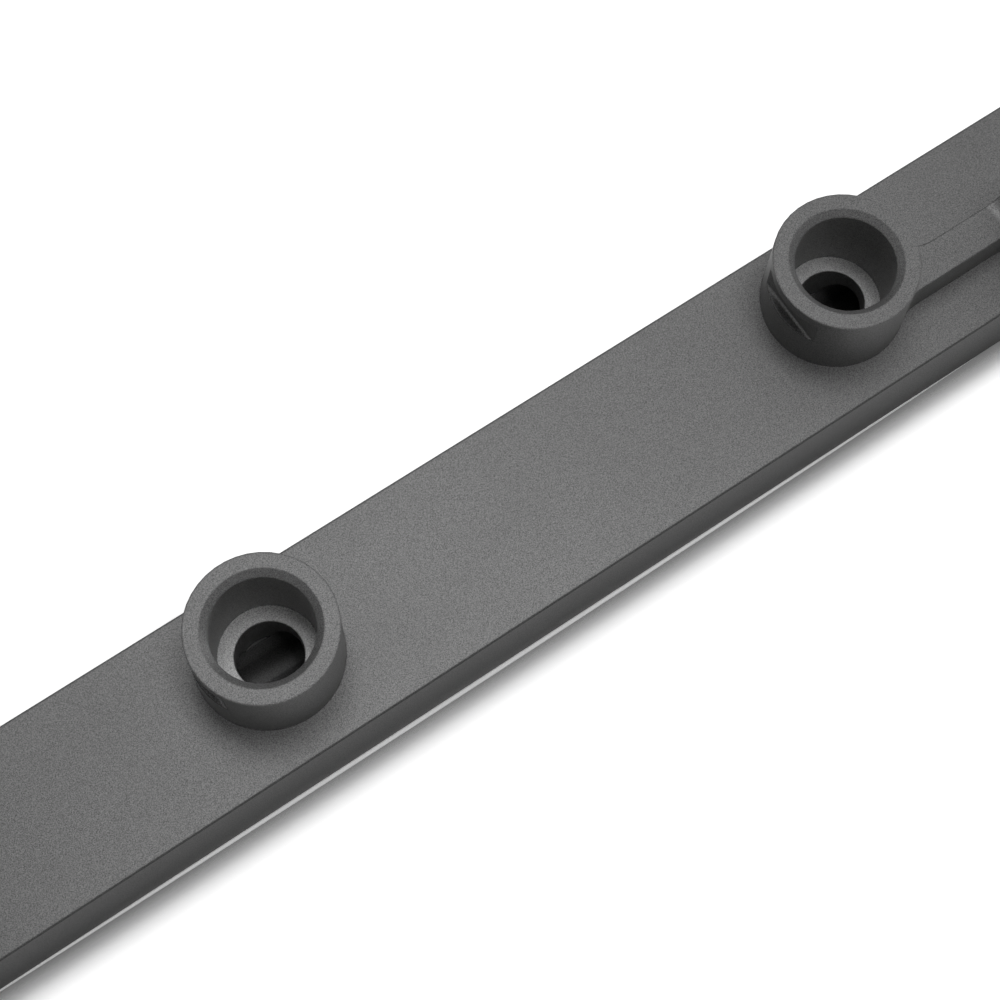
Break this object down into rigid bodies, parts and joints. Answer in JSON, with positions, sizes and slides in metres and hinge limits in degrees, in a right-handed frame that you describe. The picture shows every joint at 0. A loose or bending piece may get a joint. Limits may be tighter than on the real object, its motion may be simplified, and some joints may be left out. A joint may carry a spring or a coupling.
{
  "type": "fuel rail",
  "caption": "Flat milled fuel rail with round injector cups standing on its face, ribbed screw bosses, an end plug and a push-on inlet.",
  "frame": {"origin": "on the flat back face, midway between the two inner cups, in the plane of the cup axes", "axes": "+X along the rail towards the inlet, +Z out of the injector cups, +Y towards the long side without screw bosses"},
  "size_m": [0.365, 0.0254, 0.0265],
  "materials": {
    "rail_anodised": "matte",
    "fitting_anodised": "satin",
    "washer_copper": "satin"
  },
  "bodies": {
    "root": {"rail_body": "rail_anodised", "plug_washer": "washer_copper", "screw_plug": "fitting_anodised", "inlet_washer": "washer_copper", "inlet_fitting": "fitting_anodised"}
  },
  "joints": []
}
